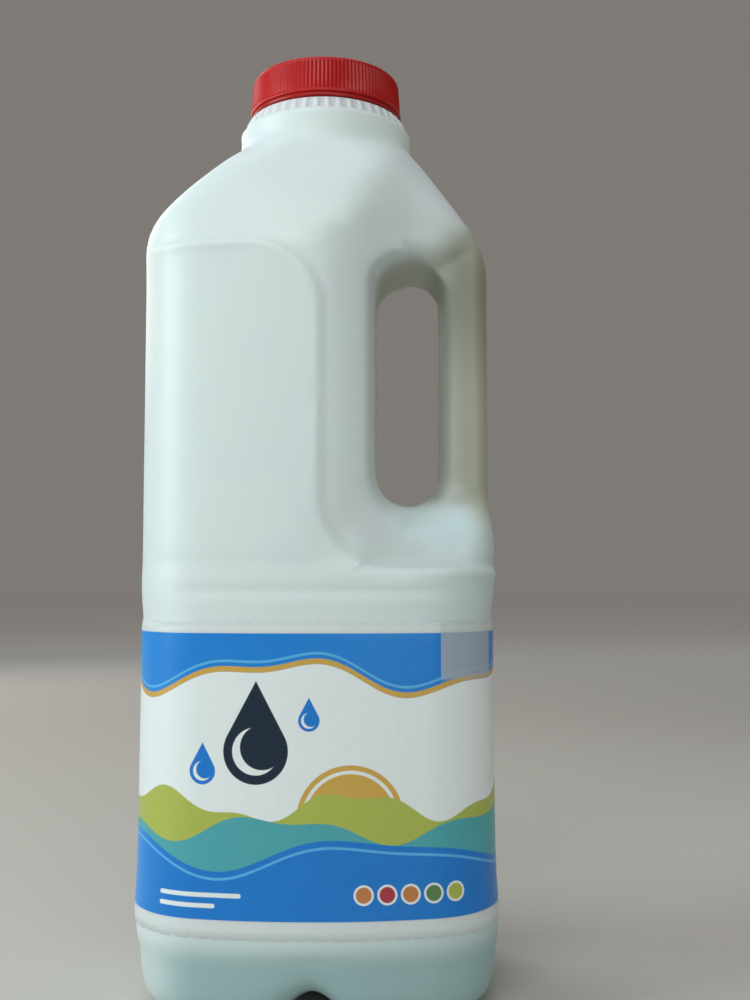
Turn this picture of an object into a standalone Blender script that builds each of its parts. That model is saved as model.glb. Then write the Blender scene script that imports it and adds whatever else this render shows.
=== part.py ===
# A filled one-litre milk jug in white plastic: moulded body with a handle, screw cap, film label.
# Z is up, the front faces -Y and the handle is at +X. The jug stands on Z = 0.
# Every length below is in millimetres; points are turned into metres as each mesh is made.

import math

import bmesh
import bpy
import numpy as np

MM = 0.001

# Body, as a plan section: a crowned front, rounded corners and nearly flat ends
BODY_X = -0.45              # the body stands a little to the left of the neck
HALF_WIDTH = 44.15
HALF_DEPTH = 36.0
CROWN = 3.0                 # how far the front falls back at CROWN_SPAN from the middle
CROWN_SPAN = 29.0
CORNER_RADIUS = 15.0

# Heights of the body's moulded lines
BASE_EDGE_Z = 8.4
RIDGE_TOP_Z = 21.8          # top of the bumper under the label
FLARE_Z = 31.0              # where the wall starts to flare down to the bumper
LABEL_TOP_Z = 94.0          # top of the recess that the label lies in
SHELF_Z = 106.0             # upper edge of the body's full depth, under the handle
PANEL_TOP_Z = 184.6
SHOULDER_LEFT_Z = 192.0     # where the ends would turn in if the turn were sharp
SHOULDER_RIGHT_Z = 189.0
RIDGE_RISE = 0.6
LABEL_RECESS = 0.5

# Front panel: flat up to this line, beyond which the surface falls towards the handle
PANEL_EDGE_X = 1.0
PANEL_RADIUS = 17.0
PANEL_STEP = 2.4            # width over which the panel's edge steps down
FLANK_START = 35.6          # half depth where the fall starts
FLANK_HASTE = 1.6           # the fall is over at 1 / 1.6 of the way to the right-hand end
TIP_FALL = 4.0              # the shoulder over the grip thins by this towards the end

# Handle: an upright slot through the jug, with the grip to its right
SLOT_LEFT = 14.4
SLOT_RIGHT = 31.0
SLOT_BOTTOM = 122.5
SLOT_TOP = 184.6
GRIP_HALF_DEPTH = 12.5
LIP_Z = 185.2               # underside of the shoulder above the grip
LIP_TURN_X = 33.0           # right of this the lip rises
GRIP_END_Z = 197.0          # the grip runs up the end of the shoulder to here
GRIP_FOOT_Z = 128.0         # under this the grip widens into the shelf
LIP_ROUND = 2.4             # the lip's rounding reaches this far under LIP_Z
LIP_REACH = 6.4             # height over which the grip grows out to the shoulder
GRIP_FOOT_REACH = 16.0      # height over which the grip widens at its foot
ROLL_LEFT, ROLL_RIGHT, ROLL_TOP, ROLL_BOTTOM = 3.0, 3.8, 1.8, 7.5

# Neck and cap, round about one upright axis
NECK_X = 0.7
COLLAR_RADIUS = 22.8
COLLAR_FRONT_Z = 215.4      # the collar's foot, lowest at the front and back
COLLAR_SIDE_Z = 216.8
NECK_TOP_Z = 226.1
NECK_TOP_RADIUS = 19.3
TOOTH_DEPTH = 0.45
GAP = 0.3                   # left between pieces that touch
CAP_Z = NECK_TOP_Z + GAP
CAP_TOP_Z = 237.2
CAP_RADIUS = 20.3
CAP_DRAFT = 0.6
CAP_RIBS = 120
RIB_DEPTH = 0.3

# The flank's half depth at the end of its fall: height, half depth, rounding
FLANK_END = [
    (SHELF_Z, 27.5, 0.0),
    (116.0, 23.5, 3.0),
    (124.0, 19.5, 4.0),
    (180.0, 18.0, 4.0),
    (COLLAR_FRONT_Z, COLLAR_RADIUS, 6.0),
]

# Film label, wrapped round the recess
LABEL_LOW_Z = 20.9
LABEL_HIGH_Z = 93.3
LABEL_THICKNESS = 0.35

# Arch moulded into the foot at the front and the back
ARCH_X = -1.0
ARCH_HALF_WIDTH = 14.0
ARCH_LIFT = 4.6
ARCH_TOP_Z = 18.0           # the arch lifts nothing above this
BASE_ROUND = 12.5           # the foot's rounding, seen from above

# Mesh columns: the two ends, then the front between them
END_COLUMNS = 8
PANEL_STATIONS = [-23.0, -16.5, -10.5, -5.0, -0.5, 3.5]
SLOT_COLUMNS = 8
ROLL_STEPS = [0.0, 0.08, 0.29, 0.62, 1.0]
SLOT_ROWS = 14
GRIP_ROW_Z = 150.0          # the row whose columns the others follow


def ramp(t, blend):
    """A hinge: 0 before t = 0 and t after it, rounded over +-blend."""
    t = np.asarray(t, float)
    if blend <= 0:
        return np.maximum(t, 0.0)
    rounded = (t + blend) ** 2 / (4 * blend)
    return np.where(t < -blend, 0.0, np.where(t > blend, t, rounded))


def along(z, keys):
    """Value at height z of a line through (z, value, blend) keys with rounded corners."""
    z = np.asarray(z, float)
    slopes = [(b[1] - a[1]) / (b[0] - a[0]) for a, b in zip(keys, keys[1:])]
    value = np.full_like(z, keys[0][1]) + slopes[0] * ramp(z - keys[0][0], keys[0][2])
    for (height, _, blend), before, after in zip(keys[1:], slopes, slopes[1:] + [0.0]):
        value = value + (after - before) * ramp(z - height, blend)
    return value


def ease(t):
    """Smooth step from 0 to 1."""
    t = np.clip(t, 0.0, 1.0)
    return t * t * (3 - 2 * t)


def lower_of(a, b, soft):
    """The smaller of two surfaces, rounded where they cross."""
    mix = np.clip(0.5 + 0.5 * (b - a) / soft, 0.0, 1.0)
    return b + (a - b) * mix - soft * mix * (1 - mix)


def wall_offset(z):
    """How far the wall stands out from the nominal body at height z."""
    return along(z, [
        (BASE_EDGE_Z, -0.7, 0.0),
        (14.8, -0.2, 0.8),
        (17.8, RIDGE_RISE, 0.8),
        (RIDGE_TOP_Z, RIDGE_RISE, 0.8),
        (FLARE_Z, -0.25, 4.0),
        (LABEL_TOP_Z, -LABEL_RECESS, 0.5),
        (97.0, 0.0, 0.9),
        (102.6, 0.2, 0.9),
        (SHELF_Z + 1.0, 0.0, 1.0),
    ])


def shoulder_inset(z, start):
    """How far one end has come in at height z, where its shoulder starts at `start`."""
    slope = (HALF_WIDTH - COLLAR_RADIUS) / (COLLAR_SIDE_Z - start)
    return slope * ramp(z - start, 6.0)


def middle_x(z):
    """Middle of the body's section at height z: under the neck at the foot, then BODY_X."""
    low = BODY_X * ease((z - 14.0) / 14.0)
    return low + (NECK_X - BODY_X) * neck_share(z)


def neck_share(z):
    """0 on the body and 1 at the collar."""
    return ease((z - PANEL_TOP_Z) / (COLLAR_SIDE_Z - PANEL_TOP_Z))


def left_edge(z):
    half = HALF_WIDTH + wall_offset(z) - shoulder_inset(z, SHOULDER_LEFT_Z)
    return middle_x(z) - half


def right_edge(z):
    bead = 0.75 * (ease((z - 100.5) / 3.0) - ease((z - 104.6) / 2.4))
    foot = 0.5 * ease((z - 108.0) / 2.0) * ease((121.0 - z) / 9.0)
    half = HALF_WIDTH + wall_offset(z) - shoulder_inset(z, SHOULDER_RIGHT_Z)
    return middle_x(z) + half + bead + foot


def lip_height(x):
    """Underside of the shoulder above the grip: level, then rising to the right-hand end."""
    return LIP_Z + 1.3 * ramp(x - LIP_TURN_X, 2.5)


def left_corner(z):
    """Plan radius of the two left corners."""
    return along(z, [
        (0.0, CORNER_RADIUS, 0.0),
        (180.0, CORNER_RADIUS, 4.0),
        (193.0, 11.5, 4.0),
        (202.0, 13.5, 4.0),
        (COLLAR_FRONT_Z, 21.5, 1.0),
    ])


def grip_share(z):
    """1 along the grip and 0 above and below it."""
    return ease((z - 110.0) / 12.0) * ease((GRIP_END_Z - z) / 7.0)


def right_corner(z):
    """Plan radii, along X and along Y, of the two right corners."""
    narrow = ease((z - 103.0) / 6.0)
    neck = ease((z - 189.0) / (COLLAR_FRONT_Z - 189.0))
    across = CORNER_RADIUS - 8.0 * narrow - 2.2 * grip_share(z) + 14.5 * neck
    deep = CORNER_RADIUS - 3.0 * narrow + (GRIP_HALF_DEPTH - 12.0) * grip_share(z) + 9.5 * neck
    return across, deep


def rounded_max(a, b, radius):
    """The larger of two distances, with the corner between them rounded."""
    u, v = a + radius, b + radius
    return np.hypot(np.maximum(u, 0), np.maximum(v, 0)) + np.minimum(np.maximum(u, v), 0) - radius


def panel_distance(x, z):
    """Signed distance to the front panel's edge, positive on the handle's side."""
    outside = rounded_max(x - PANEL_EDGE_X, z - PANEL_TOP_Z, PANEL_RADIUS)
    return -rounded_max(-outside, SHELF_Z - z, PANEL_RADIUS)


def flank_depth(x, z):
    """Half depth on the handle's side, where the front falls away from the panel's edge."""
    end = along(z, FLANK_END)
    reach = np.clip((x - PANEL_EDGE_X) / (HALF_WIDTH - PANEL_EDGE_X), 0.0, 1.0)
    fall = end + (FLANK_START - end) * (1 - ease(FLANK_HASTE * reach))
    fall = fall - TIP_FALL * ease((x - 24.0) / 14.0) * ease((z - 178.0) / 6.0) * (1 - neck_share(z))
    return np.where(x > PANEL_EDGE_X, fall, HALF_WIDTH)


def front_depth(x, z):
    """Half depth of the body at (x, z), before the ends and the slot are rounded."""
    crown = CROWN * (x / CROWN_SPAN) ** 2 * (1 - neck_share(z))
    panel = HALF_DEPTH + wall_offset(z) - crown
    slope = (HALF_DEPTH - COLLAR_RADIUS) / (COLLAR_FRONT_Z - PANEL_TOP_Z)
    shoulder = HALF_DEPTH - crown - slope * ramp(z - PANEL_TOP_Z, 0.8)
    beyond = np.minimum(lower_of(shoulder, flank_depth(x, z), 1.5), panel)
    surface = panel + (beyond - panel) * ease(panel_distance(x, z) / PANEL_STEP + 0.3)
    # The grip is set back under the shoulder and widens into the shelf at its foot
    under = ease((z - (lip_height(x) - LIP_ROUND)) / LIP_REACH)
    foot = ease((GRIP_FOOT_Z - z) / GRIP_FOOT_REACH)
    joined = np.maximum(under, foot)
    full = np.maximum(surface, GRIP_HALF_DEPTH)
    grip = GRIP_HALF_DEPTH + (full - GRIP_HALF_DEPTH) * joined + 1.5 * joined
    grip = grip + 5.0 * np.maximum(0.5 * (SLOT_LEFT + SLOT_RIGHT) - x, 0.0)
    return lower_of(surface, grip, 1.0)


def rounded(t, power):
    """Quarter round: 0 at t = 0 with an upright start, 1 from t = 1 on."""
    return (1 - (1 - np.clip(t, 0.0, 1.0)) ** power) ** (1 / power)


def depth(x, z):
    """Half depth of the jug at (x, z) with its ends rounded, without the slot."""
    flat = front_depth(x, z)
    left = left_corner(z)
    across, deep = right_corner(z)
    off_left = left * (1 - rounded((x - left_edge(z)) / left, 2.0))
    power = 2.0 + 0.4 * grip_share(z)
    off_right = np.minimum(deep, flat) * (1 - rounded((right_edge(z) - x) / across, power))
    return np.maximum(flat - off_left - off_right, 0.0)


def crowded(share):
    """Shares from 0 to 1 moved towards both ends."""
    return share - 0.6 * np.sin(2 * math.pi * share) / (2 * math.pi)


def roll_width(nx, nz):
    """Width of the slot's rounding in the direction (nx, nz) from its outline."""
    across = np.where(nx < 0, ROLL_LEFT, ROLL_RIGHT)
    to_top = ROLL_TOP + (across - ROLL_TOP) * (1 - ease(nz / 0.7))
    to_bottom = ROLL_BOTTOM + (across - ROLL_BOTTOM) * nx ** 2
    return np.where(nz > 0, to_top, to_bottom)


def slot_point(angle_side, step, share):
    """A point on the loop that lies `step` rolls outside the slot's outline."""
    half = 0.5 * (SLOT_RIGHT - SLOT_LEFT)
    slot_x = SLOT_LEFT + half
    low, high = SLOT_BOTTOM + half, SLOT_TOP - half
    # Outline from one corner (45 degrees) to the next: arc, straight side, arc
    quarter = math.pi / 4
    if angle_side in ("top", "bottom"):
        turn = quarter + share * 2 * quarter
        nx, nz = -math.cos(turn), math.sin(turn)
        base_x, base_z = slot_x + half * nx, high + half * nz
        if angle_side == "bottom":
            nz = -nz
            base_z = low + half * nz
    else:
        arc = half * quarter
        length = 2 * arc + (high - low)
        run = crowded(share) * length
        if run < arc:
            turn, centre = -quarter + run / half, low
        elif run > length - arc:
            turn, centre = (run - (length - arc)) / half, high
        else:
            turn, centre = 0.0, low + run - arc
        nx, nz = math.cos(turn), math.sin(turn)
        if angle_side == "left":
            nx = -nx
        base_x, base_z = slot_x + half * nx, centre + half * nz
    roll = roll_width(nx, nz)
    return base_x + nx * roll * step, base_z + nz * roll * step


def slot_roll(x, z):
    """Share of the full depth left by the rounding of the slot's edge."""
    half = 0.5 * (SLOT_RIGHT - SLOT_LEFT)
    slot_x = SLOT_LEFT + half
    centre = np.clip(z, SLOT_BOTTOM + half, SLOT_TOP - half)
    dx, dz = x - slot_x, z - centre
    away = np.maximum(np.hypot(dx, dz), 0.001)
    width = np.maximum(roll_width(dx / away, dz / away), 0.001)
    return rounded((away - half) / width, 2.3)


def end_curve(z, side):
    """Points of one end in plan, from the front's last station round to the middle of the end."""
    across, deep = right_corner(z) if side > 0 else (left_corner(z), left_corner(z))
    edge = right_edge(z) if side > 0 else left_edge(z)
    turn = np.linspace(0.0, math.pi / 2, 60)
    x = edge - side * across * (1 - np.sin(turn))
    y = depth(x, z)
    return np.append(x, edge), np.append(y, 0.0)


def spread(x, y, shares):
    """Points at the given shares of a plan curve's length."""
    run = np.append(0.0, np.cumsum(np.hypot(np.diff(x), np.diff(y))))
    return np.interp(shares * run[-1], run, x), np.interp(shares * run[-1], run, y)


def inner_shares():
    """Places of the columns between the two ends, as shares of the grip row's front."""
    left_x, _ = end_curve(GRIP_ROW_Z, -1)
    right_x, _ = end_curve(GRIP_ROW_Z, 1)
    rolls = np.array(ROLL_STEPS[1:])
    near_left = (SLOT_LEFT - ROLL_LEFT * rolls)[::-1]
    slot = np.linspace(SLOT_LEFT, SLOT_RIGHT, SLOT_COLUMNS + 1)
    near_right = SLOT_RIGHT + ROLL_RIGHT * rolls
    pinned = np.concatenate([PANEL_STATIONS, near_left, slot, near_right])
    return (pinned - left_x[0]) / (right_x[0] - left_x[0])


def row_points(z, shares=None):
    """Front half of the body's section at height z as column points, from -X round to +X."""
    left_x, left_y = end_curve(z, -1)
    right_x, right_y = end_curve(z, 1)
    first, last = left_x[0], right_x[0]
    if shares is not None:
        middle = np.linspace(first, last, 200)[1:-1]
        dense_x = np.concatenate([left_x[::-1], middle, right_x])
        dense_y = np.concatenate([left_y[::-1], depth(middle, z), right_y])
        return spread(dense_x, dense_y, shares)
    pinned = inner_shares()
    even = np.arange(1, len(pinned) + 1) / (len(pinned) + 1)
    hold = float(ease((z - 86.0) / 28.0))
    inner = first + (last - first) * (even + (pinned - even) * hold)
    equal = np.linspace(0.0, 1.0, END_COLUMNS + 1)
    lx, ly = spread(left_x[::-1], left_y[::-1], equal)
    rx, ry = spread(right_x, right_y, equal)
    return np.concatenate([lx, inner, rx]), np.concatenate([ly, depth(inner, z), ry])


def body_rows():
    """Heights of the body's rows, and the first and last row that meet the slot."""
    low = [BASE_EDGE_Z, 11.5, 15.0, 16.8, 19.0, RIDGE_TOP_Z, FLARE_Z, 48.0, 72.0, LABEL_TOP_Z]
    low += [96.8, 100.8, 104.0, SHELF_Z, 107.6, 109.6, 112.0, 115.0, 118.0, 121.0]
    slot = list(125.0 + 53.0 * crowded(np.linspace(0.0, 1.0, SLOT_ROWS + 1)))
    high = [181.0, 183.2, PANEL_TOP_Z, 186.4]
    high += [188.4, 190.4, 192.4, 194.6, 197.2, 200.4, 204.4, 208.5, 212.2]
    return low + slot + high, len(low), len(low) + SLOT_ROWS


def half_skin():
    """The front half of the jug as arrays X, Y, Z[row, column], and the slot's index window."""
    heights, slot_low, slot_high = body_rows()
    rolls = len(ROLL_STEPS) - 1
    slot_left = END_COLUMNS + 1 + len(PANEL_STATIONS) + rolls
    slot_right = slot_left + SLOT_COLUMNS
    columns = slot_right + 1 + rolls + END_COLUMNS + 1
    turned = np.linspace(0.0, 1.0, columns)
    x_rows, y_rows = [], []
    pinned_shares = None
    for z in heights:
        blend = float(ease((z - 187.0) / 24.0))
        if blend <= 0:
            x, y = row_points(z)
            run = np.append(0.0, np.cumsum(np.hypot(np.diff(x), np.diff(y))))
            pinned_shares = run / run[-1]
        else:
            x, y = row_points(z, pinned_shares + (turned - pinned_shares) * blend)
        x_rows.append(x)
        y_rows.append(y)
    x, y = np.array(x_rows), np.array(y_rows)
    z = np.repeat(np.array(heights)[:, None], columns, axis=1)
    window = (slot_low, slot_high, slot_left, slot_right)
    fit_slot(x, y, z, window)
    return x, y, z, window


def fit_slot(x, y, z, window):
    """Bend the rows and columns round the slot, and lay them on the jug's surface."""
    low, high, left, right = window
    area = (slice(low - 5, high + 7), slice(END_COLUMNS + 3, -(END_COLUMNS + 1)))
    fixed = np.ones(x.shape, bool)
    fixed[area] = False
    for step, share_out in enumerate(ROLL_STEPS):
        rows = range(low - step, high + step + 1)
        cols = range(left - step, right + step + 1)
        for n, i in enumerate(rows):
            share = n / (len(rows) - 1)
            for j, side in ((cols[0], "left"), (cols[-1], "right")):
                x[i, j], z[i, j] = slot_point(side, share_out, share)
                fixed[i, j] = True
        for n, j in enumerate(cols):
            share = n / (len(cols) - 1)
            for i, side in ((rows[0], "bottom"), (rows[-1], "top")):
                x[i, j], z[i, j] = slot_point(side, share_out, share)
                fixed[i, j] = True
    fixed[low:high + 1, left:right + 1] = True
    free = ~fixed
    for _ in range(160):
        for grid in (x, z):
            mean = grid.copy()
            upright = grid[2:, 1:-1] + grid[:-2, 1:-1]
            level = grid[1:-1, 2:] + grid[1:-1, :-2]
            mean[1:-1, 1:-1] = 0.25 * (upright + level)
            grid[free] = mean[free]
    y[area] = (depth(x, z) * slot_roll(x, z))[area]


def foot_rows(x, y):
    """Rows under the base edge: the rounding, the foot that it stands on and the push-up."""
    rings = [
        (BASE_ROUND + 8.0, 3.2, 0.6),
        (BASE_ROUND + 3.2, 1.6, 2.6),
        (BASE_ROUND, 0.0, 5.4),
        (8.2, 0.0, 7.0),
        (4.6, 0.7, 7.4),
        (2.1, 2.4, 7.2),
        (0.6, 5.0, 6.2),
    ]
    bell = arch_bell(x)
    rows = []
    for inset, height, lift in rings:
        in_x = 1 - inset / HALF_WIDTH
        in_y = 1 - inset / HALF_DEPTH
        rows.append((x * in_x, y * in_y, height + lift * bell))
    return rows


def arch_bell(x):
    """1 at the arch's middle and 0 beyond its sides."""
    return 0.5 * (1 + np.cos(math.pi * np.clip((x - ARCH_X) / ARCH_HALF_WIDTH, -1, 1)))


def neck_rows(columns):
    """Rows of the collar and of the toothed ring under the cap."""
    angle = math.pi - np.linspace(0.0, math.pi, columns)
    tooth = np.where(np.arange(columns) % 2 == 0, 0.0, 1.0)
    middle = 0.5 * (COLLAR_FRONT_Z + COLLAR_SIDE_Z)
    half = 0.5 * (COLLAR_SIDE_Z - COLLAR_FRONT_Z)
    base = middle + half * np.cos(2 * angle)
    rings = [
        (COLLAR_RADIUS, base, 0.0),
        (COLLAR_RADIUS, 221.2, 0.0),
        (COLLAR_RADIUS - 0.5, 222.2, 0.0),
        (COLLAR_RADIUS - 1.0, 222.7, TOOTH_DEPTH),
        (21.2, 224.3, TOOTH_DEPTH),
        (20.2, 225.6, TOOTH_DEPTH),
        (NECK_TOP_RADIUS, NECK_TOP_Z, 0.0),
    ]
    rows = []
    for radius, height, cut in rings:
        r = radius - cut * tooth
        rows.append((NECK_X + r * np.cos(angle), r * np.sin(angle), height + 0 * angle))
    return rows


def mirrored_skin(rows, window=None):
    """A closed tube from its front half: a grid moved onto the rows, then mirrored in Y."""
    row_count, column_count = len(rows), len(rows[0][0])
    mesh = bmesh.new()
    bmesh.ops.create_grid(mesh, x_segments=column_count - 1, y_segments=row_count - 1, size=1.0)
    for vert in mesh.verts:
        j = round((vert.co.x + 1) / 2 * (column_count - 1))
        i = round((vert.co.y + 1) / 2 * (row_count - 1))
        vert.co = (rows[i][0][j] * MM, -rows[i][1][j] * MM, rows[i][2][j] * MM)
        vert.tag = window is not None and window[0] < i < window[1] and window[2] < j < window[3]
    mesh.verts.ensure_lookup_table()
    inside = [v for v in mesh.verts if v.tag]
    bmesh.ops.delete(mesh, geom=inside, context="VERTS")
    front = mesh.verts[:] + mesh.edges[:] + mesh.faces[:]
    bmesh.ops.mirror(mesh, geom=front, merge_dist=0.00002, axis="Y")
    bmesh.ops.remove_doubles(mesh, verts=mesh.verts[:], dist=0.00002)
    return mesh


def close_ends(mesh):
    """Close a tube's open rims, each with one face, and point every face outwards."""
    rims = [e for e in mesh.edges if e.is_boundary]
    bmesh.ops.holes_fill(mesh, edges=rims, sides=0)
    bmesh.ops.recalc_face_normals(mesh, faces=mesh.faces[:])


def finished(name, mesh, colour, roughness, sharp_angle):
    """An object with its own material, shaded smooth except at sharp edges."""
    data = bpy.data.meshes.new(name)
    mesh.to_mesh(data)
    mesh.free()
    data.shade_smooth()
    data.set_sharp_from_angle(angle=math.radians(sharp_angle))
    material = bpy.data.materials.new(name)
    material.use_nodes = True
    shader = material.node_tree.nodes["Principled BSDF"]
    shader.inputs["Base Color"].default_value = (*colour, 1.0)
    shader.inputs["Roughness"].default_value = roughness
    shader.inputs["Metallic"].default_value = 0.0
    data.materials.append(material)
    piece = bpy.data.objects.new(name, data)
    bpy.context.scene.collection.objects.link(piece)
    return piece


def make_jug():
    x, y, z, window = half_skin()
    lift = ARCH_LIFT * np.clip((ARCH_TOP_Z - z) / (ARCH_TOP_Z - BASE_EDGE_Z), 0.0, 1.0)
    z = z + lift * arch_bell(x) * (y > 0.5 * HALF_DEPTH)
    foot = foot_rows(x[0], y[0])
    rows = foot + list(zip(x, y, z)) + neck_rows(x.shape[1])
    shift = len(foot)
    mesh = mirrored_skin(rows, (window[0] + shift, window[1] + shift, window[2], window[3]))
    close_ends(mesh)
    return finished("jug", mesh, (0.80, 0.84, 0.80), 0.35, 40)


def make_cap():
    """Screw cap: a plain band at the foot, fine ribs up the side and an eased top edge."""
    count = 2 * CAP_RIBS
    top_radius = CAP_RADIUS - CAP_DRAFT
    rings = [
        (CAP_RADIUS - 0.4, CAP_Z, 0.0),
        (CAP_RADIUS - 0.25, CAP_Z + 1.1, 0.0),
        (CAP_RADIUS, CAP_Z + 1.5, RIB_DEPTH),
        (top_radius, CAP_TOP_Z - 1.5, RIB_DEPTH),
        (top_radius - 0.45, CAP_TOP_Z - 0.5, 0.0),
        (top_radius - 1.4, CAP_TOP_Z, 0.0),
    ]
    mesh = bmesh.new()
    bmesh.ops.create_circle(mesh, cap_ends=True, segments=count, radius=CAP_RADIUS * MM)
    bmesh.ops.translate(mesh, verts=mesh.verts[:], vec=(NECK_X * MM, 0.0, 0.0))
    face = mesh.faces[:][0]
    for n, (radius, height, cut) in enumerate(rings):
        if n > 0:
            face = bmesh.ops.extrude_discrete_faces(mesh, faces=[face])["faces"][0]
        for vert in face.verts:
            turn = math.atan2(vert.co.y, vert.co.x - NECK_X * MM)
            rib = round(turn / (2 * math.pi) * count) % 2
            r = (radius - cut * rib) * MM
            vert.co = (NECK_X * MM + r * math.cos(turn), r * math.sin(turn), height * MM)
    close_ends(mesh)
    return finished("cap", mesh, (0.60, 0.02, 0.03), 0.35, 30)


def make_label():
    """Printed film: a thin sleeve that follows the jug's wall at the gap's distance."""
    stand_off = GAP + LABEL_THICKNESS
    rows = []
    for z in (LABEL_LOW_Z, RIDGE_TOP_Z, FLARE_Z, LABEL_HIGH_Z):
        # The top row takes its outline from the wall under the recess's upper edge
        x, y = row_points(min(z, 80.0))
        step_x = np.gradient(x)
        step_y = np.gradient(y)
        step_x[0] = step_x[-1] = 0.0
        length = np.hypot(step_x, step_y)
        rows.append((x - stand_off * step_y / length, y + stand_off * step_x / length, z + 0 * x))
    mesh = mirrored_skin(rows)
    bmesh.ops.recalc_face_normals(mesh, faces=mesh.faces[:])
    label = finished("label", mesh, (0.10, 0.33, 0.75), 0.3, 60)
    shell = label.modifiers.new("Film", "SOLIDIFY")
    shell.thickness = LABEL_THICKNESS * MM
    shell.offset = -1.0
    return label


def main():
    for old in list(bpy.data.objects):
        bpy.data.objects.remove(old, do_unlink=True)
    make_jug()
    make_cap()
    make_label()


main()
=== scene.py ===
import math

import bmesh
import bpy
import numpy as np
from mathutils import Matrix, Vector
from mathutils.bvhtree import BVHTree


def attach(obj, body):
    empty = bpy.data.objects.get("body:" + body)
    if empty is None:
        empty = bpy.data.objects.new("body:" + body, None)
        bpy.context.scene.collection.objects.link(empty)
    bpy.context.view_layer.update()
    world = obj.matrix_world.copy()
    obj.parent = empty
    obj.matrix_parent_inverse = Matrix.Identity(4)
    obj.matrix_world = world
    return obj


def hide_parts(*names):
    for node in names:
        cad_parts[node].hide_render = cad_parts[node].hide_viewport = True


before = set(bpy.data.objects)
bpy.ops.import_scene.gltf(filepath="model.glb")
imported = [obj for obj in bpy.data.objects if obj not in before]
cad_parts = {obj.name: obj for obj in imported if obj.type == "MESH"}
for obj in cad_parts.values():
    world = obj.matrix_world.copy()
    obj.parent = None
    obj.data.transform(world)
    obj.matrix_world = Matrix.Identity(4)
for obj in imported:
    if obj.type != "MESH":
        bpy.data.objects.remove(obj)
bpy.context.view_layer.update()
print("frame loaded:", sorted(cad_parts))

mm = 0.001


# Shader sums

class Wire:
    # one socket of a material, with the usual signs of arithmetic
    def __init__(self, paint, socket):
        self.paint = paint
        self.socket = socket

    def __add__(self, other):
        return self.paint.sums("ADD", self, other)

    def __radd__(self, other):
        return self.paint.sums("ADD", other, self)

    def __sub__(self, other):
        return self.paint.sums("SUBTRACT", self, other)

    def __rsub__(self, other):
        return self.paint.sums("SUBTRACT", other, self)

    def __mul__(self, other):
        return self.paint.sums("MULTIPLY", self, other)

    def __rmul__(self, other):
        return self.paint.sums("MULTIPLY", other, self)

    def __truediv__(self, other):
        return self.paint.sums("DIVIDE", self, other)

    def __rtruediv__(self, other):
        return self.paint.sums("DIVIDE", other, self)

    def __pow__(self, other):
        return self.paint.sums("POWER", self, other)

    def __rpow__(self, other):
        return self.paint.sums("POWER", other, self)

    def over(self, limit):
        return self.paint.sums("GREATER_THAN", self, limit)

    def lower(self, other):
        return self.paint.sums("MINIMUM", self, other)

    def higher(self, other):
        return self.paint.sums("MAXIMUM", self, other)

    def size(self):
        return self.paint.sums("ABSOLUTE", self)

    def wave(self):
        return self.paint.sums("SINE", self)

    def step(self, low, high):
        # 0 below low, 1 above high, smooth between
        return self.paint.node("ShaderNodeMapRange", {"interpolation_type": "SMOOTHSTEP"},
                               {"Value": self, "From Min": low, "From Max": high})["Result"]


class Paint:
    # one material, and the way to add nodes to it
    def __init__(self, name, settings):
        self.material = bpy.data.materials.new(name)
        self.material.use_nodes = True
        self.tree = self.material.node_tree
        self.shader = self.tree.nodes["Principled BSDF"]
        for socket, value in settings.items():
            self.shader.inputs[socket].default_value = value

    def join(self, value, socket):
        if isinstance(value, Wire):
            self.tree.links.new(value.socket, socket)
        elif isinstance(value, tuple) and len(value) == 3 and len(socket.default_value) == 4:
            socket.default_value = (*value, 1.0)
        else:
            socket.default_value = value

    def node(self, kind, settings, values):
        made = self.tree.nodes.new(kind)
        for name, value in settings.items():
            setattr(made, name, value)
        for socket, value in values.items():
            self.join(value, made.inputs[socket])
        return {out.name: Wire(self, out) for out in made.outputs if out.enabled}

    def sums(self, operation, *values):
        places = dict(enumerate(values))
        return self.node("ShaderNodeMath", {"operation": operation}, places)["Value"]

    def mix(self, share, first, second):
        # Mix node for colours: its colour sockets are A and B
        made = self.tree.nodes.new("ShaderNodeMix")
        made.data_type = "RGBA"
        self.join(share, made.inputs["Factor"])
        colours = [s for s in made.inputs if s.type == "RGBA"]
        self.join(first, colours[0])
        self.join(second, colours[1])
        return Wire(self, [s for s in made.outputs if s.type == "RGBA"][0])

    def place(self):
        return self.node("ShaderNodeTexCoord", {}, {})["Object"]

    def split(self, vector):
        parts = self.node("ShaderNodeSeparateXYZ", {}, {"Vector": vector})
        return parts["X"], parts["Y"], parts["Z"]

    def noise(self, vector, scale, detail=3.0, stretch=(1.0, 1.0, 1.0)):
        moved = self.node("ShaderNodeMapping", {}, {"Vector": vector, "Scale": stretch})["Vector"]
        made = self.node("ShaderNodeTexNoise", {}, {"Vector": moved, "Scale": scale, "Detail": detail})
        return made.get("Fac", made.get("Factor"))

    def bump(self, height, distance, strength=1.0):
        values = {"Height": height, "Distance": distance, "Strength": strength}
        return self.node("ShaderNodeBump", {}, values)["Normal"]

    def feed(self, socket, value):
        self.join(value, self.shader.inputs[socket])


def addPiece(name, mesh, paint, shadeAngle=40):
    data = bpy.data.meshes.new(name)
    mesh.to_mesh(data)
    mesh.free()
    data.shade_smooth()
    data.set_sharp_from_angle(angle=math.radians(shadeAngle))
    data.materials.append(paint.material)
    piece = bpy.data.objects.new(name, data)
    bpy.context.scene.collection.objects.link(piece)
    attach(piece, "root")
    return piece


def fade(value, low, high):
    # 0 below low, 1 above high, smooth between
    t = np.clip((value - low) / (high - low), 0.0, 1.0)
    return t * t * (3 - 2 * t)


def swell(value, middle, width):
    # 1 at the middle, dying away on both sides
    return np.exp(-((value - middle) / width) ** 2)


# Jug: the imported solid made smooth, with the moulded lines that are finer than its faces

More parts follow.
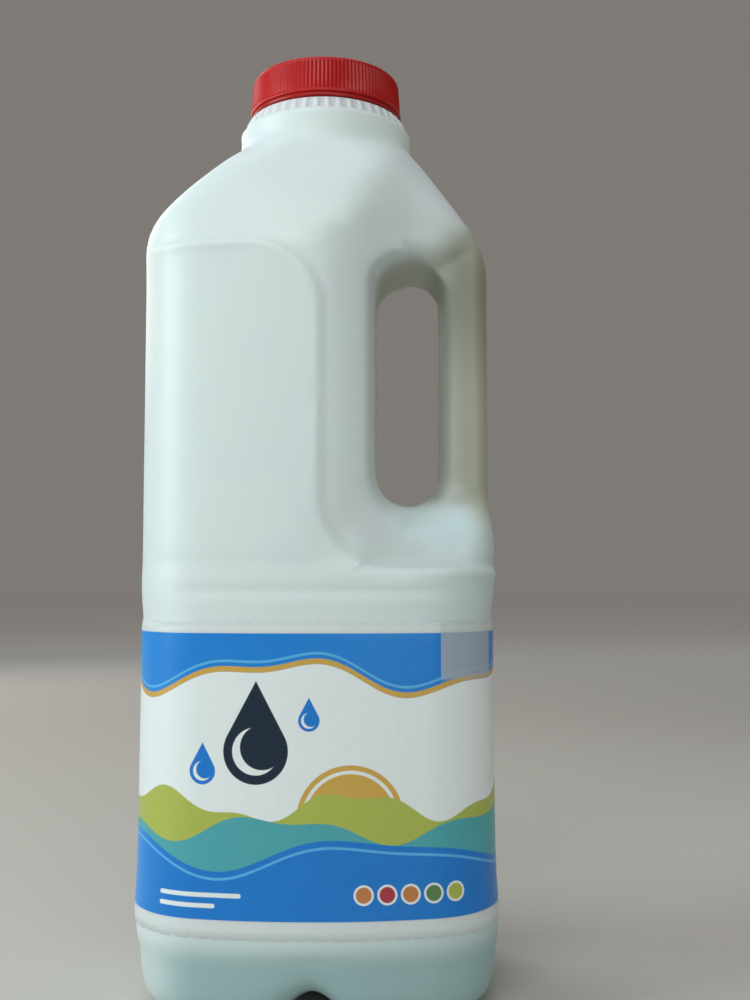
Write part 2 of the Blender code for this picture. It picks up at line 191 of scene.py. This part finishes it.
jugValues = {
    # lengths in mm, colours linear
    "levels": 2,
    "collar": (206.0, 212.0, 221.5, 222.0),     # heights where the collar's shape is held
    # the corner between panel and shelf: middle and half sizes in x and z
    "cornerMiddle": (9.0, 108.5), "cornerHalves": (20.0, 9.0),
    "cornerRounds": 30, "cornerNarrowing": 0.7, "cornerDepth": 20.0,
    # the raised panel: right-hand edge, top, foot, radius of its corners, rise
    "panelEdgeX": 1.0, "panelTopZ": 184.6, "panelFootZ": 106.0, "panelRadius": 17.0, "panelRise": 0.5,
    "beadRise": 0.28,
    "grooveZ": 100.6, "grooveWidth": 1.2, "grooveDepth": 0.4,
    "gap": (14.4, 31.0, 122.5, 184.6),          # the handle's gap: left, right, foot, top
    "neckX": 0.7,
    # collar and ring under the cap: height and radius
    "ring": [(216.6, 22.8), (221.3, 22.7), (222.2, 22.3), (222.7, 21.9), (224.3, 21.4), (225.6, 20.6),
             (226.15, 19.6)],
    "collarBead": 0.22, "collarBeadZ": 221.5,
    "bars": 46, "barTurn": 0.5, "barDepth": 0.5, "barEdge": (0.1, 0.7), "barZ": (222.6, 225.8),
    "underFilm": 0.30,                          # the wall stands this much nearer to the film
    "filmZ": (21.6, 92.6),
    "partingRise": 0.10, "partingZ": (9.0, 215.0),
    "white": (0.72, 0.815, 0.805),
    "gripTint": (0.42, 0.435, 0.345),
    "gripDark": (0.16, 0.16, 0.11),
    "footTint": (0.33, 0.50, 0.505),
    "shelfTint": (0.78, 0.95, 1.0),
    "cloudTints": ((0.70, 0.745, 0.82), (0.78, 0.79, 0.76)),
    "hollowTint": (0.66, 0.64, 0.70),
}


def panelDistance(x, z, values):
    radius = values["panelRadius"]

    def roundedMax(a, b):
        u, v = a + radius, b + radius
        return np.hypot(np.maximum(u, 0), np.maximum(v, 0)) + np.minimum(np.maximum(u, v), 0) - radius

    outside = roundedMax(x - values["panelEdgeX"], z - values["panelTopZ"])
    return -roundedMax(-outside, values["panelFootZ"] - z)


def smoothCopy(node, values):
    # the node's loose triangles, merged and paired into four-sided faces, then subdivided
    mesh = bmesh.new()
    mesh.from_mesh(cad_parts[node].data)
    bmesh.ops.remove_doubles(mesh, verts=mesh.verts[:], dist=0.00001)
    bmesh.ops.join_triangles(mesh, faces=mesh.faces[:], angle_face_threshold=3.1,
                             angle_shape_threshold=3.1, topology_influence=2.0)
    data = bpy.data.meshes.new(node + "Rough")
    mesh.to_mesh(data)
    mesh.free()
    rough = bpy.data.objects.new(node + "Rough", data)
    bpy.context.scene.collection.objects.link(rough)
    smoother = rough.modifiers.new("Smoother", "SUBSURF")
    smoother.levels = smoother.render_levels = values["levels"]
    bpy.context.view_layer.update()
    shaped = rough.evaluated_get(bpy.context.evaluated_depsgraph_get())
    # smoothing draws the collar's corners in, so its points are moved out by what was lost
    target = np.array([vert.co[:] for vert in data.vertices])
    reached = np.array([vert.co[:] for vert in shaped.data.vertices[:len(target)]])
    heights = target[:, 2:] / mm
    low, lowFull, highFull, high = values["collar"]
    collar = fade(heights, low, lowFull) * (1 - fade(heights, highFull, high))
    for vert, lost in zip(data.vertices, (target - reached) * collar):
        vert.co += Vector(lost)
    data.update()
    bpy.context.view_layer.update()
    shaped = rough.evaluated_get(bpy.context.evaluated_depsgraph_get())
    mesh = bmesh.new()
    mesh.from_mesh(shaped.data)
    bpy.data.objects.remove(rough)
    return mesh


def roundCorner(mesh, values):
    # the corner where the panel's edge runs into the shelf, smoothed most of all at its middle
    middleX, middleZ = values["cornerMiddle"]
    halfX, halfZ = values["cornerHalves"]
    near = [(math.hypot((vert.co.x / mm - middleX) / halfX, (vert.co.z / mm - middleZ) / halfZ), vert)
            for vert in mesh.verts if abs(vert.co.y) > values["cornerDepth"] * mm]
    near = [(away, vert) for away, vert in near if away < 1.0]
    for turn in range(values["cornerRounds"]):
        reach = 1.0 - values["cornerNarrowing"] * turn / values["cornerRounds"]
        corner = [vert for away, vert in near if away < reach]
        bmesh.ops.smooth_vert(mesh, verts=corner, factor=0.5,
                              use_axis_x=True, use_axis_y=True, use_axis_z=True)


def wallRelief(x, y, z, values):
    # how far each point of the wall moves out along its normal, in mm
    face = fade(np.abs(y), 14.0, 22.0) * fade(x, -42.0, -36.0)
    onShelf = fade(x, 5.0, 12.0) * fade(z, 103.0, 104.5)
    upper = face * np.maximum(fade(z, 107.0, 111.0), onShelf) * (1 - fade(z, 190.0, 196.0))
    # the panel stands proud of the surface beyond its edge, with a soft bead along it
    beyond = panelDistance(x, z, values)
    push = values["panelRise"] * upper * (0.5 - fade(beyond, -0.7, 0.7))
    push = push + values["beadRise"] * upper * swell(beyond, -0.9, 1.1)
    push = push - 0.6 * values["beadRise"] * upper * swell(beyond, 1.5, 1.3)
    # a shallow groove runs under the panel
    across = fade(x, -36.0, -28.0) * (1 - fade(x, 28.0, 36.0))
    push = push - values["grooveDepth"] * face * across * swell(z, values["grooveZ"], values["grooveWidth"])
    low, high = values["filmZ"]
    push = push + values["underFilm"] * fade(z, low, low + 0.8) * (1 - fade(z, high - 0.8, high))
    low, high = values["partingZ"]
    return push + values["partingRise"] * swell(y, 0.0, 0.5) * (z > low) * (z < high)


def clearGap(points, values):
    # the handle's gap keeps its full outline: nothing stands further in than its upright sides
    x, y, z = points.T
    left, right, foot, top = values["gap"]
    half = 0.5 * (right - left)
    dx = x - left - half
    dz = z - np.clip(z, foot + half, top - half)
    gone = np.maximum(np.hypot(dx, dz), 0.01)
    inGap = (gone < half) & (np.abs(y) < 30.0) & (z > foot - 1.0) & (z < top + 1.0)
    points[:, 0] += np.where(inGap, dx * (half / gone - 1.0), 0.0)
    points[:, 2] += np.where(inGap, dz * (half / gone - 1.0), 0.0)


def turnCollar(points, values):
    # upright collar with a bead round its top edge, then the ring under the cap:
    # narrow upright bars with wider hollows between them
    x, y, z = points.T
    turn = np.arctan2(y, x - values["neckX"])
    ringZ, ringReach = zip(*values["ring"])
    bar = fade(np.cos(values["bars"] * turn + values["barTurn"]), *values["barEdge"])
    low, high = values["barZ"]
    hollow = values["barDepth"] * (1 - bar) * fade(z, low, low + 0.4) * (1 - fade(z, high - 0.4, high))
    bead = values["collarBead"] * swell(z, values["collarBeadZ"], 0.45)
    reach = np.interp(z, ringZ, ringReach) + bead - hollow
    onRing = (z > ringZ[0]) & (z < ringZ[-1]) & (np.hypot(x - values["neckX"], y) > 17.0)
    points[:, 0] = np.where(onRing, values["neckX"] + reach * np.cos(turn), x)
    points[:, 1] = np.where(onRing, reach * np.sin(turn), y)


def jugForm(values):
    mesh = smoothCopy("jug", values)
    roundCorner(mesh, values)
    mesh.normal_update()
    points = np.array([vert.co[:] for vert in mesh.verts]) / mm
    normals = np.array([vert.normal[:] for vert in mesh.verts])
    points = points + normals * wallRelief(*points.T, values)[:, None]
    clearGap(points, values)
    turnCollar(points, values)
    for vert, place in zip(mesh.verts, points * mm):
        vert.co = place
    return mesh


def jugPaint(values):
    paint = Paint("milkyPlastic", {
        "Roughness": 0.38, "IOR": 1.5, "Subsurface Weight": 0.35, "Subsurface Scale": 0.006,
        "Subsurface Radius": (1.0, 0.9, 0.75), "Coat Roughness": 0.25,
    })
    place = paint.place()
    x, y, z = paint.split(place)
    cloud = paint.noise(place, 45.0, 3.0)
    patch = paint.noise(place, 28.0, 2.0)
    streak = paint.noise(place, 60.0, 2.0, (1.0, 1.0, 0.12))
    grain = paint.noise(place, 900.0, 2.0)
    # the grip holds no milk, so it is warmer and darker; the jug's right-hand end and the gap's inner walls
    # take the same tint as painted shade
    grip = x.step(0.027, 0.036) * z.step(0.108, 0.130) * (1.0 - z.step(0.184, 0.200))
    edge = x.step(0.033, 0.042) * z.step(0.112, 0.130) * (1.0 - z.step(0.194, 0.206))
    gap = x.step(0.011, 0.0165) * (1.0 - x.step(0.029, 0.033)) * z.step(0.12, 0.126)
    gapWallShade = gap * (1.0 - z.step(0.186, 0.192)) * (1.0 - y.size().step(0.010, 0.020))
    warmAndShaded = (0.75 * grip + 0.55 * edge + 0.8 * gapWallShade).lower(1.0)
    bluish, pinkish = values["cloudTints"]
    base = paint.mix(patch.step(0.48, 0.66) * 0.35, values["white"], bluish)
    base = paint.mix((1.0 - patch.step(0.36, 0.5)) * 0.3, base, pinkish)
    base = paint.mix(warmAndShaded, base, values["gripTint"])
    # painted shade on the top of the grip, under the lip
    gripTopShade = x.step(0.027, 0.036) * z.step(0.145, 0.178) * (1.0 - z.step(0.182, 0.194))
    base = paint.mix(gripTopShade * 0.55, base, values["gripDark"])
    # painted light on the shelf under the gap, which is cooler and lighter
    litShelf = x.step(0.012, 0.026) * (1.0 - x.step(0.034, 0.042)) * z.step(0.109, 0.117)
    base = paint.mix(litShelf * (1.0 - z.step(0.119, 0.124)) * 0.9, base, values["shelfTint"])
    # painted shade at the foot: darker towards the bottom, least at the left-hand end
    foot = (1.0 - z.step(0.013, 0.024)) * (0.3 + 0.65 * x.step(-0.042, -0.028))
    base = paint.mix(foot, base, values["footTint"])
    # painted shade on the right-hand end under the shelf
    under = x.step(0.012, 0.048) * (1.0 - z.step(0.112, 0.122))
    base = paint.mix(under * 0.35, base, values["footTint"])
    # the ring's hollows, painted lilac grey: the ring's own colour where no milk lies behind, and painted
    # shade between the bars
    turn = paint.sums("ARCTAN2", y, x - values["neckX"] * mm)
    bar = (turn * values["bars"] + (values["barTurn"] + math.pi / 2)).wave().step(*values["barEdge"])
    ringZone = z.step(0.2224, 0.2228) * (1.0 - z.step(0.2256, 0.2260))
    base = paint.mix(ringZone * (1.0 - bar) * 0.8, base, values["hollowTint"])
    paint.feed("Base Color", base)
    paint.feed("Roughness", 0.34 + 0.12 * cloud + 0.05 * streak)
    height = cloud * 0.35 + streak * 0.25 + grain * 0.06
    paint.feed("Normal", paint.bump(height, 0.0006, 0.35))
    return paint


jugPiece = addPiece("jugShell", jugForm(jugValues), jugPaint(jugValues), 75)
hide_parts("jug")
print("jug:", len(jugPiece.data.polygons), "faces")


# Screw cap: ribbed skirt over a rim bead, and the plain tamper band below it

capValues = {
    # lengths in mm
    "axisX": 0.7, "ribs": 120, "segmentsPerRib": 4, "ribDepth": 0.34,
    "footZ": 226.45, "topZ": 237.2, "radius": 20.3, "draft": 0.6,
    "red": (0.46, 0.008, 0.010), "redMottleAndLitSide": (0.60, 0.022, 0.019),
    "redShadedSide": (0.30, 0.003, 0.004), "scuffTint": (0.78, 0.30, 0.28), "bandShadeTint": (0.34, 0.010, 0.013),
}


def ringLoft(rings, count, axisX, shape):
    # a turned form, extruded ring by ring: each ring is (radius, height, share of the pattern's depth)
    mesh = bmesh.new()
    bmesh.ops.create_circle(mesh, cap_ends=False, segments=count, radius=rings[0][0] * mm)
    loop = list(mesh.edges)
    for n, (radius, height, depth) in enumerate(rings):
        if n:
            grown = bmesh.ops.extrude_edge_only(mesh, edges=loop)["geom"]
            loop = [part for part in grown if isinstance(part, bmesh.types.BMEdge)]
        for vert in {v for edge in loop for v in edge.verts}:
            turn = math.atan2(vert.co.y, vert.co.x - (axisX * mm if n else 0.0))
            reach = (radius - depth * shape(turn)) * mm
            vert.co = (axisX * mm + reach * math.cos(turn), reach * math.sin(turn), height * mm)
    return mesh


def orderParts(mesh, axisX):
    # extrusion leaves the parts in no fixed order, so they are sorted by height, radius and turn
    def rank(place):
        across, along = place.x / mm - axisX, place.y / mm
        radius = round(math.hypot(across, along), 3)
        return round(place.z / mm, 3) * 1e9 + radius * 1e4 + math.atan2(along, across)

    mesh.verts.sort(key=lambda vert: rank(vert.co))
    mesh.edges.sort(key=lambda edge: rank((edge.verts[0].co + edge.verts[1].co) / 2))
    mesh.faces.sort(key=lambda face: rank(face.calc_center_median()))


def capForm(values):
    foot, top = values["footZ"], values["topZ"]
    wide, slim = values["radius"], values["radius"] - values["draft"]
    cut = values["ribDepth"]

    def rib(turn):
        return 0.5 - 0.5 * math.cos(values["ribs"] * turn)

    rings = [
        (18.6, foot + 0.35, 0.0), (18.7, foot, 0.0), (wide - 0.75, foot, 0.0), (wide - 0.5, foot + 0.12, 0.0),
        (wide - 0.42, foot + 0.35, 0.0), (wide - 0.42, foot + 0.75, 0.0), (wide - 0.52, foot + 0.9, 0.0),
        (wide - 0.52, foot + 1.0, 0.0), (wide - 0.1, foot + 1.12, 0.0), (wide, foot + 1.3, 0.0),
        (wide, foot + 1.55, 0.0), (wide - 0.12, foot + 1.75, 0.0), (wide - 0.16, foot + 1.95, cut * 0.6),
        (wide - 0.18, foot + 2.2, cut), (wide - 0.32, foot + 5.0, cut), (slim, top - 1.75, cut),
        (slim - 0.02, top - 1.4, cut), (slim - 0.08, top - 1.1, cut * 0.6), (slim - 0.18, top - 0.85, 0.05),
        (slim - 0.36, top - 0.55, 0.0), (slim - 0.66, top - 0.27, 0.0), (slim - 1.05, top - 0.09, 0.0),
        (slim - 1.5, top - 0.02, 0.0), (slim - 2.2, top, 0.0), (slim - 3.0, top - 0.06, 0.0),
        (slim - 3.4, top - 0.3, 0.0), (slim - 4.0, top - 0.42, 0.0), (12.0, top - 0.42, 0.0),
        (6.0, top - 0.42, 0.0),
    ]
    mesh = ringLoft(rings, values["ribs"] * values["segmentsPerRib"], values["axisX"], rib)
    bmesh.ops.holes_fill(mesh, edges=[edge for edge in mesh.edges if edge.is_boundary], sides=0)
    orderParts(mesh, values["axisX"])
    bmesh.ops.recalc_face_normals(mesh, faces=mesh.faces[:])
    return mesh


def capPaint(values):
    paint = Paint("redPlastic", {
        "Roughness": 0.3, "IOR": 1.46, "Specular IOR Level": 0.32, "Subsurface Weight": 0.04,
        "Subsurface Scale": 0.001, "Subsurface Radius": (1.0, 0.2, 0.1), "Coat Roughness": 0.2,
    })
    place = paint.place()
    x, _, z = paint.split(place)
    cloud = paint.noise(place, 160.0, 3.0)
    grain = paint.noise(place, 1500.0, 2.0)
    scuff = paint.noise(place, 500.0, 4.0, (1.0, 1.0, 3.0)).step(0.62, 0.75)
    base = paint.mix(cloud.step(0.4, 0.7) * 0.25, values["red"], values["redMottleAndLitSide"])
    # painted light on the cap's left side and painted shade on its right side
    base = paint.mix((1.0 - x.step(-0.018, 0.004)) * 0.55, base, values["redMottleAndLitSide"])
    base = paint.mix(x.step(0.002, 0.018) * 0.6, base, values["redShadedSide"])
    base = paint.mix(scuff * z.step(0.2355, 0.237) * 0.3, base, values["scuffTint"])
    # painted shade on the tamper band under the rim bead
    base = paint.mix((1.0 - z.step(0.2274, 0.2278)) * 0.5, base, values["bandShadeTint"])
    paint.feed("Base Color", base)
    paint.feed("Roughness", 0.26 + 0.14 * cloud + 0.2 * scuff)
    paint.feed("Normal", paint.bump(cloud * 0.3 + grain * 0.1, 0.0004, 0.35))
    return paint


capPiece = addPiece("ribbedCap", capForm(capValues), capPaint(capValues), 35)
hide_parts("cap")
print("cap:", len(capPiece.data.polygons), "faces")


# Film label: a sleeve laid on the jug's wall, with clear nicked borders and a plain generic print

labelValues = {
    # lengths in mm
    "footZ": 20.95, "topZ": 93.25, "standOff": 0.12, "thickness": 0.1,
    "nickPitch": 4.6, "nickDepth": 0.32, "columnsPerNick": 6, "rows": 34,
    # the print, in mm round the girth from the middle of the front and in mm above the table
    "printZ": (25.2, 90.7), "overlap": (30.5, 47.5), "overlapFootZ": 79.0,
    "litLeftField": (-110.0, -80.0, -58.0, -34.0),
    # a wavy line: its level, then (height, count round the jug, phase) of each swell
    "topWave": (80.0, (3.4, 4, 2.2), (1.5, 9, 0.6)),
    "footWave": (40.5, (3.2, 4, 0.4), (1.3, 7, 2.0)),
    "farHills": (51.0, (3.0, 6, 0.3), (1.1, 15, 1.0)),
    "nearHills": (45.8, (2.6, 5, 2.6), (1.2, 11, 0.0)),
    "sun": (9.0, 48.0, 12.4), "sunRing": (10.4, 11.2),
    "drops": [(-13.0, 63.5, 7.6, "navy"), (-25.6, 58.8, 3.1, "blue"), (-0.6, 70.6, 2.5, "blue")],
    "dropLean": 0.47,
    "dots": ("orange", "red", "orange", "green", "lime"),
    "dotPlace": (12.0, 31.0), "dotPitch": 5.4, "dotRadii": (2.3, 1.8),
    "rules": [(-36.0, -16.0, 30.2, 31.2), (-36.0, -22.0, 27.8, 28.8)],
    "blue": (0.004, 0.19, 0.62), "paleBlue": (0.10, 0.44, 0.82), "navy": (0.002, 0.014, 0.036),
    "highBlue": (0.006, 0.22, 0.68), "litSideBlue": (0.014, 0.34, 0.88), "haze": (0.60, 0.68, 0.72),
    "white": (0.80, 0.86, 0.86), "teal": (0.07, 0.38, 0.42), "gold": (0.62, 0.38, 0.07),
    "lime": (0.42, 0.48, 0.08), "green": (0.10, 0.22, 0.07), "orange": (0.55, 0.20, 0.06),
    "red": (0.40, 0.035, 0.05), "film": (0.93, 0.97, 0.97), "seam": (0.42, 0.46, 0.47),
}


def wallHit(tree, z, turn):
    # where a ray from outside towards the body's middle meets the wall at height z, and the normal there
    way = Vector((math.cos(turn), math.sin(turn), 0.0))
    hit = tree.ray_cast(Vector((0.0, 0.0, z * mm)) + way * 0.09, -way)
    return hit[0], hit[1]


def sleeveForm(values, wall):
    tree = BVHTree.FromObject(wall, bpy.context.evaluated_depsgraph_get())
    # turns that part the girth evenly, from the middle of the back round past the left-hand end
    turns = np.linspace(0.0, 2 * math.pi, 1441) + math.pi / 2
    ring = np.array([wallHit(tree, 60.0, turn)[0][:2] for turn in turns]) / mm
    run = np.append(0.0, np.cumsum(np.hypot(*np.diff(ring, axis=0).T)))
    girth = run[-1]
    nicks = round(girth / values["nickPitch"])
    columns = nicks * values["columnsPerNick"]
    shares = np.arange(columns + 1) / columns
    columnTurns = np.interp(shares * girth, run, turns)
    foot, top = values["footZ"], values["topZ"]
    mesh = bmesh.new()
    bmesh.ops.create_grid(mesh, x_segments=columns, y_segments=values["rows"], size=1.0)
    sheetMap = mesh.loops.layers.uv.new("film")
    for face in mesh.faces:
        for corner in face.loops:
            corner[sheetMap].uv = ((corner.vert.co.x + 1) / 2, (corner.vert.co.y + 1) / 2)
    rowShares = np.arange(values["rows"] + 1) / values["rows"]
    for vert in mesh.verts:
        column = round((vert.co.x + 1) / 2 * columns)
        row = round((vert.co.y + 1) / 2 * values["rows"])
        nick = values["nickDepth"] if column % values["columnsPerNick"] == 0 else 0.0
        low, high = foot + nick, top - nick
        z = low + (high - low) * rowShares[row]
        place, normal = wallHit(tree, z, columnTurns[column])
        # the lower border stands off a little unevenly
        slack = 0.04 * math.sin(shares[column] * 61.0) * (rowShares[row] < 0.06)
        vert.co = place + normal * (values["standOff"] + slack) * mm
    bmesh.ops.remove_doubles(mesh, verts=mesh.verts[:], dist=0.00003)
    bmesh.ops.recalc_face_normals(mesh, faces=mesh.faces[:])
    return mesh, girth


def labelPaint(values, girth):
    paint = Paint("printedFilm", {"Roughness": 0.3, "IOR": 1.45, "Specular IOR Level": 0.3,
                                 "Coat Weight": 0.06, "Coat Roughness": 0.12})
    sheet = paint.node("ShaderNodeUVMap", {"uv_map": "film"}, {})["UV"]
    across = paint.split(sheet)[0]
    # u is mm round the girth from the middle of the front, z is mm above the table
    u = (across - 0.5) * girth
    z = paint.split(paint.place())[2] / mm
    fine = 0.12

    def within(value, low, high, soft=fine):
        return value.step(low - soft, low + soft) * (1.0 - value.step(high - soft, high + soft))

    def disc(middleU, middleZ, radius):
        gone = ((u - middleU) * (u - middleU) + (z - middleZ) * (z - middleZ)) ** 0.5
        return 1.0 - gone.step(radius - fine, radius + fine)

    def rule(lowU, highU, lowZ, highZ, corner=0.45):
        # a short bar with rounded ends
        halfU, halfZ = 0.5 * (highU - lowU) - corner, 0.5 * (highZ - lowZ) - corner
        du = ((u - 0.5 * (lowU + highU)).size() - halfU).higher(0.0)
        dz = ((z - 0.5 * (lowZ + highZ)).size() - halfZ).higher(0.0)
        return 1.0 - ((du * du + dz * dz) ** 0.5).step(corner - fine, corner + fine)

    grain = paint.noise(sheet, 420.0, 2.0, (4.2, 1.0, 1.0))
    blueField = paint.mix(z.step(25.0, 92.0), values["blue"], values["highBlue"])
    # painted light: the blue is lighter round the left side
    leftLow, leftFull, rightFull, rightHigh = values["litLeftField"]
    litLeftSide = (1.0 - u.step(rightFull, rightHigh)) * u.step(leftLow, leftFull)
    blueField = paint.mix(litLeftSide, blueField, values["litSideBlue"])

    def wavyLine(level, *swells):
        for height, count, phase in swells:
            level = level + height * (u * (2 * math.pi * count / girth) + phase).wave()
        return level

    # white sky between two long waves that run all round the jug
    above = z - wavyLine(*values["topWave"])
    under = wavyLine(*values["footWave"]) - z
    artwork = paint.mix(1.0 - above.step(-fine, fine), blueField, values["white"])
    artwork = paint.mix(within(above, 0.0, 1.3), artwork, values["gold"])
    artwork = paint.mix(within(above, 2.2, 2.8), artwork, values["paleBlue"])

    # low sun behind two ranges of hills and the lower blue field
    sunU, sunZ, sunRadius = values["sun"]
    ringInner, ringOuter = values["sunRing"]
    artwork = paint.mix(disc(sunU, sunZ, sunRadius), artwork, values["gold"])
    sunRing = disc(sunU, sunZ, ringOuter) * (1.0 - disc(sunU, sunZ, ringInner))
    artwork = paint.mix(sunRing, artwork, values["white"])
    far = wavyLine(*values["farHills"])
    near = wavyLine(*values["nearHills"])
    artwork = paint.mix(1.0 - (z - far).step(-fine, fine), artwork, values["lime"])
    artwork = paint.mix(1.0 - (z - near).step(-fine, fine), artwork, values["teal"])
    artwork = paint.mix(under.step(-fine, fine), artwork, blueField)
    artwork = paint.mix(within(under, 1.4, 2.0), artwork, values["paleBlue"])

    # a large drop with a bright edge, and two small ones beside it
    lean = values["dropLean"]
    for dropU, dropZ, size, ink in values["drops"]:
        du, dz = u - dropU, z - dropZ
        # a disc, with two straight sides that touch it and meet at the tip
        sides = du.size() * math.sqrt(1 - lean * lean) + dz * lean - size
        belly = (du * du + dz * dz) ** 0.5 - size
        drop = 1.0 - (belly + (sides - belly) * dz.over(size * lean)).step(-fine, fine)
        artwork = paint.mix(drop, artwork, values[ink])
        bite = disc(dropU + size * 0.2, dropZ + size * 0.12, size * 0.68)
        artwork = paint.mix(disc(dropU, dropZ, size * 0.72) * (1.0 - bite), artwork, values["white"])

    # row of small coloured dots low on the right, and short plain rules low on the left
    dotU, dotZ = values["dotPlace"]
    rim, spot = values["dotRadii"]
    for n, colour in enumerate(values["dots"]):
        middle = dotU + values["dotPitch"] * n
        artwork = paint.mix(disc(middle, dotZ, rim), artwork, values["white"])
        artwork = paint.mix(disc(middle, dotZ, spot), artwork, values[colour])
    for edges in values["rules"]:
        artwork = paint.mix(rule(*edges), artwork, values["white"])

    printed = within(z, *values["printZ"])
    overlap = within(u, *values["overlap"], 0.08)
    colour = paint.mix(printed, values["film"], artwork)
    overlapFoot = values["overlapFootZ"]
    doubled = overlap * z.step(overlapFoot, overlapFoot + 1.5) * (printed * 0.6 + 0.2)
    colour = paint.mix(doubled, colour, values["seam"])
    colour = paint.mix((grain - 0.5).size() * 0.25, colour, values["haze"])
    paint.feed("Base Color", colour)
    paint.feed("Alpha", (printed * 0.55 + 0.45).lower(1.0))
    paint.feed("Roughness", 0.24 + 0.16 * grain)
    crease = paint.noise(sheet, 16.0, 3.0, (4.2, 1.0, 1.0))
    paint.feed("Normal", paint.bump(crease * 0.6 + grain * 0.03 + overlap * 0.15, 0.0007, 0.4))
    return paint


sleeveMesh, filmGirth = sleeveForm(labelValues, jugPiece)
labelPiece = addPiece("filmSleeve", sleeveMesh, labelPaint(labelValues, filmGirth), 80)
filmWall = labelPiece.modifiers.new("FilmWall", "SOLIDIFY")
filmWall.thickness = labelValues["thickness"] * mm
filmWall.offset = 1.0
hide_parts("label")
print("label:", len(labelPiece.data.polygons), "faces, girth", round(filmGirth, 1))


# Floor, light and camera

stageValues = {
    # lengths in metres, the camera's pitch in degrees and its lens in mm
    "floor": (0.58, 0.555, 0.52), "floorMottle": (0.50, 0.49, 0.47), "floorFarLight": (0.97, 0.97, 0.97),
    "floorSize": 16.0, "floorLightRamp": (0.5, 1.6),
    "camera": (0.014, -0.305, 0.103), "pitch": 94.0, "lens": 41.4,
    "world": (1.0, 0.93, 0.85), "worldStrength": 0.21,
    # name, place, the point it faces, watts, width and height, colour
    "lamps": [
        ("keyLeft", (-0.9, -0.25, 0.45), (0.0, 0.0, 0.12), 5.9, (0.5, 0.7), (0.84, 0.97, 1.0)),
        ("frontHigh", (-0.2, -0.8, 0.95), (0.0, 0.0, 0.12), 3.5, (0.6, 0.6), (0.96, 0.99, 1.0)),
        ("frontRight", (0.34, -1.0, 0.40), (0.0, 0.0, 0.12), 2.3, (0.6, 0.7), (0.90, 1.0, 0.99)),
        ("top", (0.0, 0.1, 1.1), (0.0, 0.0, 0.12), 1.5, (0.8, 0.8), (0.84, 0.96, 1.0)),
        ("backLeft", (-0.6, 0.7, 0.6), (0.0, 0.0, 0.12), 2.2, (0.6, 0.6), (1.0, 0.95, 0.88)),
    ],
}


def addFloor(values):
    mesh = bmesh.new()
    bmesh.ops.create_grid(mesh, x_segments=1, y_segments=1, size=values["floorSize"] / 2)
    data = bpy.data.meshes.new("floor")
    mesh.to_mesh(data)
    mesh.free()
    paint = Paint("paleFloor", {"Roughness": 0.8, "Specular IOR Level": 0.2})
    place = paint.place()
    x, y, _ = paint.split(place)
    away = (x * x + y * y) ** 0.5
    soft = paint.noise(place, 9.0, 4.0)
    floorColour = paint.mix(soft * 0.12, values["floor"], values["floorMottle"])
    # the floor is painted paler with distance, standing in for light so that it fades into the backdrop
    paint.feed("Base Color", paint.mix(away.step(*values["floorLightRamp"]), floorColour, values["floorFarLight"]))
    paint.feed("Normal", paint.bump(soft, 0.001, 0.1))
    data.materials.append(paint.material)
    floor = bpy.data.objects.new("floor", data)
    bpy.context.scene.collection.objects.link(floor)


def addLamp(name, place, aim, power, size, colour):
    lamp = bpy.data.lights.new(name, "AREA")
    lamp.energy = power
    lamp.shape = "RECTANGLE"
    lamp.size, lamp.size_y = size
    lamp.color = colour
    holder = bpy.data.objects.new(name, lamp)
    bpy.context.scene.collection.objects.link(holder)
    holder.location = place
    holder.rotation_euler = (Vector(aim) - Vector(place)).to_track_quat("-Z", "Y").to_euler()


def addCamera(values):
    lens = bpy.data.cameras.new("camera")
    lens.sensor_fit = "VERTICAL"
    lens.sensor_height = 36.0
    lens.lens = values["lens"]
    lens.clip_start = 0.01
    holder = bpy.data.objects.new("camera", lens)
    bpy.context.scene.collection.objects.link(holder)
    holder.location = values["camera"]
    holder.rotation_euler = (math.radians(values["pitch"]), 0.0, 0.0)
    bpy.context.scene.camera = holder


addFloor(stageValues)
for lampName, lampPlace, lampAim, lampPower, lampSize, lampColour in stageValues["lamps"]:
    addLamp(lampName, lampPlace, lampAim, lampPower, lampSize, lampColour)
addCamera(stageValues)
sky = bpy.data.worlds.new("studio")
bpy.context.scene.world = sky
sky.use_nodes = True
backdrop = sky.node_tree.nodes["Background"]
backdrop.inputs["Color"].default_value = (*stageValues["world"], 1.0)
backdrop.inputs["Strength"].default_value = stageValues["worldStrength"]
bpy.context.scene.view_settings.view_transform = "Standard"
print("stage set")

bpy.context.view_layer.update()
